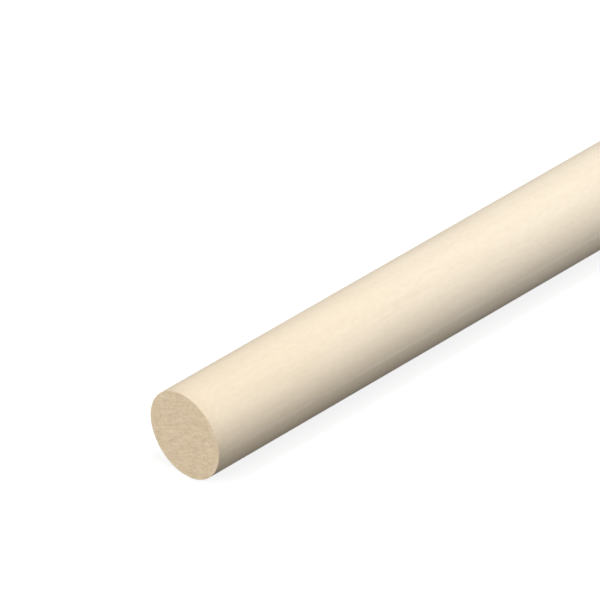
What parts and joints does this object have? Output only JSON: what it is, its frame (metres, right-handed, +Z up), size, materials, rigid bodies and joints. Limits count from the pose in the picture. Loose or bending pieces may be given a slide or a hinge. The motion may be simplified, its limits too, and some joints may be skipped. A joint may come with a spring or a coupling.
{
  "type": "round hardwood dowel",
  "caption": "Plain round dowel rod of pale fine-grained hardwood, moulded smooth with a faint witness flat along each side and sawn square at its ends.",
  "frame": {"origin": "centre of the near sawn end, on the rod's axis", "axes": "+X runs along the rod from the near end to the far end, +Z is up with the rod lying on a level floor, and the two witness flats face +Y and -Y"},
  "size_m": [0.9, 0.025, 0.025],
  "materials": {
    "pale_hardwood": "planed and lightly sanded, unfinished"
  },
  "bodies": {
    "root": {"dowel_rod": "pale_hardwood"}
  },
  "joints": []
}
